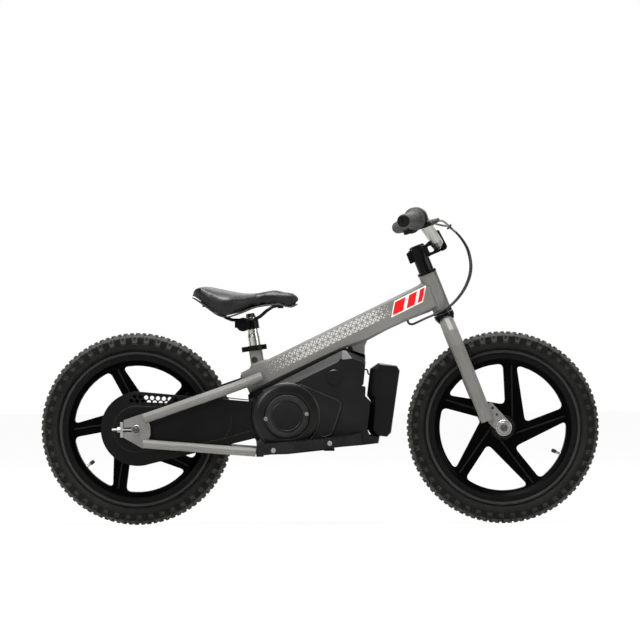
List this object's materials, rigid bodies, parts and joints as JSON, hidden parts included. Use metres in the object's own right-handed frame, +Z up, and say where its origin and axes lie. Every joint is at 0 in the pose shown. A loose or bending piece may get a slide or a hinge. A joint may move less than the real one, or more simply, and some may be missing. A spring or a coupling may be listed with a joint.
{
  "type": "electric balance bike",
  "caption": "Small electric balance bike with a single deep top tube, cast wheels, a saddle on a leaning post, a swept handlebar and a boxed motor and battery between the wheels.",
  "frame": {"origin": "on the ground, midway between the two axles, in the wheels' middle plane", "axes": "+X forward, +Y to the rider's left, +Z up"},
  "size_m": [1.178, 0.5302, 0.6658],
  "materials": {
    "frame_paint": "satin grey paint on tube",
    "black_paint": "satin black",
    "wheel_black": "satin black composite",
    "black_plastic": "fine grained",
    "tyre_rubber": "dull",
    "grip_rubber": "dull",
    "saddle_cover": "soft grained",
    "steel": "plated",
    "alloy": "polished",
    "bar_metal": "satin grey",
    "control_box": "plain",
    "cell_wrap": "plain",
    "cable_black": "smooth"
  },
  "bodies": {
    "frame": {"main_frame": "frame_paint", "seatstay_right": "frame_paint", "seatstay_left": "frame_paint", "chainstay_right": "frame_paint", "chainstay_left": "frame_paint", "dropout_right": "frame_paint", "dropout_left": "frame_paint", "lower_cradle": "black_paint", "headset_cup_upper": "black_paint", "headset_cup_lower": "black_paint", "seat_collar": "black_paint", "case_right": "black_plastic", "case_left": "black_plastic", "motor_cover": "black_plastic", "motor_cover_cap": "black_plastic", "motor": "alloy", "controller": "control_box", "battery_shell_right": "black_plastic", "battery_shell_left": "black_plastic", "battery_cells": "cell_wrap", "battery_lead": "cable_black", "foot_rest_right": "black_plastic", "foot_rest_left": "black_plastic", "chain_guard_outer": "black_plastic", "chain_guard_inner": "black_plastic", "drive_chain": "steel", "chain_tensioner_right": "steel", "chain_tensioner_left": "steel", "rear_axle": "steel", "brake_caliper": "black_paint", "brake_cable_front": "cable_black", "brake_cable_rear": "cable_black", "throttle_lead": "cable_black"},
    "steering": {"fork": "frame_paint", "stem": "black_paint", "stem_faceplate": "black_paint", "handlebar": "bar_metal", "top_cap": "black_paint", "steerer_spacer": "black_paint", "front_axle": "steel", "grip_left": "grip_rubber", "throttle_housing": "black_plastic", "lever_clamp": "black_paint"},
    "throttle": {"throttle_grip": "grip_rubber"},
    "lever": {"brake_lever": "black_paint"},
    "front_wheel": {"front_rim": "wheel_black", "front_tyre": "tyre_rubber"},
    "rear_wheel": {"rear_rim": "wheel_black", "rear_tyre": "tyre_rubber", "rear_sprocket": "steel", "brake_disc": "steel"},
    "motor_rotor": {"motor_sprocket": "steel"},
    "post": {"seat_post": "alloy", "seat_clamp": "alloy", "clamp_bolt": "steel"},
    "saddle": {"saddle_rails": "steel", "saddle_base": "black_plastic", "saddle_pad": "saddle_cover", "rail_clamp": "alloy"},
    "knob": {"power_knob": "black_plastic"}
  },
  "joints": [
    {"name": "steer", "type": "hinge", "parent": "frame", "child": "steering", "pos_m": [0.2585, 0, 0.4523], "axis": [-0.3697, 0, 0.9291], "range_deg": [-75, 75], "deforming": ["brake_cable_front", "throttle_lead"]},
    {"name": "front_wheel_spin", "type": "hinge", "parent": "steering", "child": "front_wheel", "pos_m": [0.386, 0, 0.203], "axis": [0, 1, 0], "continuous": true},
    {"name": "rear_wheel_spin", "type": "hinge", "parent": "frame", "child": "rear_wheel", "pos_m": [-0.386, 0, 0.203], "axis": [0, 1, 0], "continuous": true},
    {"name": "motor_sprocket_spin", "type": "hinge", "parent": "frame", "child": "motor_rotor", "pos_m": [-0.0694, 0, 0.2295], "axis": [0, 1, 0], "continuous": true},
    {"name": "throttle_twist", "type": "hinge", "parent": "steering", "child": "throttle", "pos_m": [0.19757, -0.158, 0.63969], "axis": [-0.2452, -0.9673, -0.0656], "range_deg": [0, 70], "stiffness_Nm_per_rad": 0.25, "springref_deg": -17.19},
    {"name": "brake_lever_pull", "type": "hinge", "parent": "steering", "child": "lever", "pos_m": [0.23488, 0.13083, 0.63652], "axis": [0.1615, 0.1075, 0.981], "range_deg": [0, 15], "stiffness_Nm_per_rad": 1.5, "springref_deg": -17.19},
    {"name": "seat_height", "type": "slide", "parent": "frame", "child": "post", "axis": [-0.1392, 0, 0.9903], "range_m": [-0.01, 0.03]},
    {"name": "saddle_tilt", "type": "hinge", "parent": "post", "child": "saddle", "pos_m": [-0.1616, 0, 0.4227], "axis": [0, 1, 0], "range_deg": [-12, 12]},
    {"name": "power_knob_turn", "type": "hinge", "parent": "frame", "child": "knob", "pos_m": [0.0294, -0.0583, 0.3106], "axis": [0, -1, 0], "range_deg": [0, 90]}
  ],
  "couplings": [
    {"joint": "motor_sprocket_spin", "follows": "rear_wheel_spin", "ratio": 2.4615}
  ]
}
